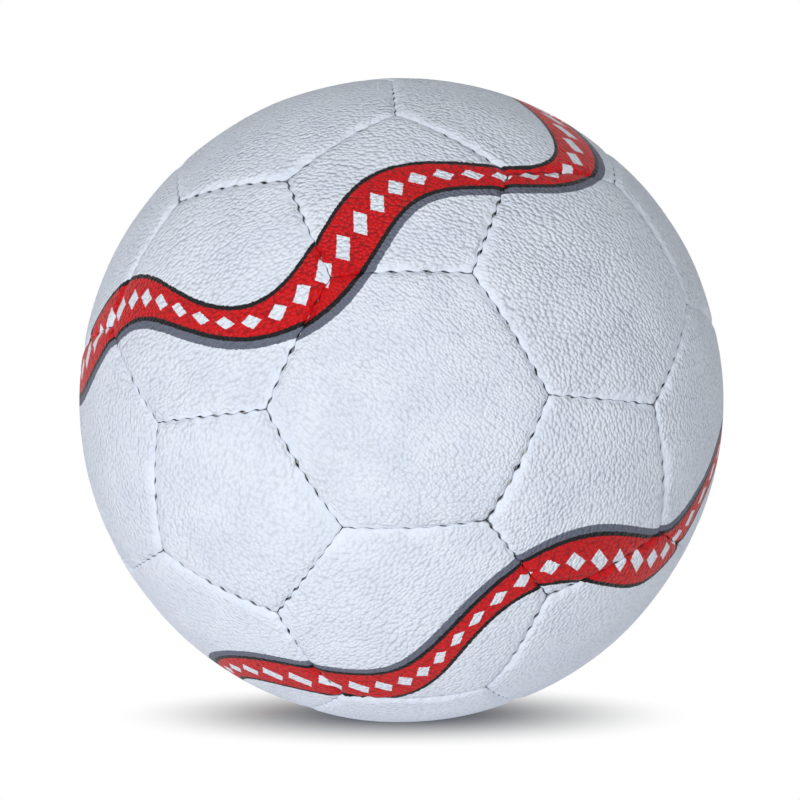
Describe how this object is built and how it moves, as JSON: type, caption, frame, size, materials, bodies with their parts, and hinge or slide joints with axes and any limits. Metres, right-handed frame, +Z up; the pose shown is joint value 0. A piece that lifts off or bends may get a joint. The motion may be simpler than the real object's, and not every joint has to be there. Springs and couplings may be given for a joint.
{
  "type": "handball",
  "caption": "Round hand-stitched handball of pentagon and hexagon panels over a rubber bladder, with a needle valve in one panel and a small flat where it rests.",
  "frame": {"origin": "centre of the ball", "axes": "+Z up as the ball lies in the picture, -Y towards the viewer, +X to the viewer's right"},
  "size_m": [0.1876, 0.1878, 0.1873],
  "materials": {
    "panel_skin": "matt white synthetic leather with a fine pebbled grain",
    "thread": "waxed cream thread",
    "bladder_rubber": "smooth black rubber",
    "valve_rubber": "matt black moulded rubber",
    "core_rubber": "pale soft rubber"
  },
  "bodies": {
    "root": {"pentagon_panel_01": "panel_skin", "pentagon_panel_02": "panel_skin", "pentagon_panel_03": "panel_skin", "pentagon_panel_04": "panel_skin", "pentagon_panel_05": "panel_skin", "pentagon_panel_06": "panel_skin", "pentagon_panel_07": "panel_skin", "pentagon_panel_08": "panel_skin", "pentagon_panel_09": "panel_skin", "pentagon_panel_10": "panel_skin", "pentagon_panel_11": "panel_skin", "pentagon_panel_12": "panel_skin", "hexagon_panel_01": "panel_skin", "hexagon_panel_02": "panel_skin", "hexagon_panel_03": "panel_skin", "hexagon_panel_04": "panel_skin", "hexagon_panel_05": "panel_skin", "hexagon_panel_06": "panel_skin", "hexagon_panel_07": "panel_skin", "hexagon_panel_08": "panel_skin", "hexagon_panel_09": "panel_skin", "hexagon_panel_10": "panel_skin", "hexagon_panel_11": "panel_skin", "hexagon_panel_12": "panel_skin", "hexagon_panel_13": "panel_skin", "hexagon_panel_14": "panel_skin", "hexagon_panel_15": "panel_skin", "hexagon_panel_16": "panel_skin", "hexagon_panel_17": "panel_skin", "hexagon_panel_18": "panel_skin", "hexagon_panel_19": "panel_skin", "valve_panel": "panel_skin", "seam_thread": "thread", "bladder": "bladder_rubber", "valve_boot": "valve_rubber", "valve_core": "core_rubber"}
  },
  "joints": []
}
